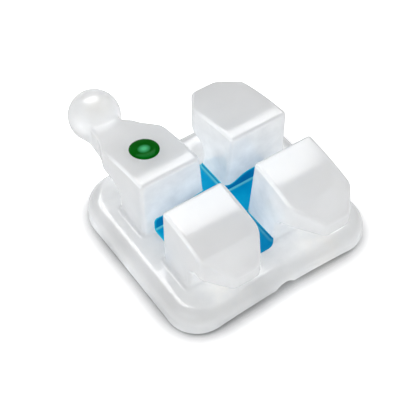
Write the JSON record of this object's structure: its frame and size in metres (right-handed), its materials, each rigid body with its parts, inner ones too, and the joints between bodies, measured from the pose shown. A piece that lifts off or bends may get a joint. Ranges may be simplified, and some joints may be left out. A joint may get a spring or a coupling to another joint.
{
  "type": "ceramic orthodontic bracket",
  "caption": "Translucent ceramic twin bracket for a tooth, with an archwire slot, tie wings, a ball hook, placement dye and a green dot.",
  "frame": {"origin": "below the crossing of the archwire slot and the centre groove, in the plane of the bonding base's four corners", "axes": "+X along the archwire slot, +Y to the gum side with the hook, +Z away from the tooth"},
  "size_m": [0.0037, 0.0046, 0.0016],
  "materials": {
    "alumina": "gloss",
    "dye": "satin",
    "dot_enamel": "gloss"
  },
  "bodies": {
    "root": {"bracket_body": "alumina", "slot_marking": "dye", "id_dot": "dot_enamel"}
  },
  "joints": []
}
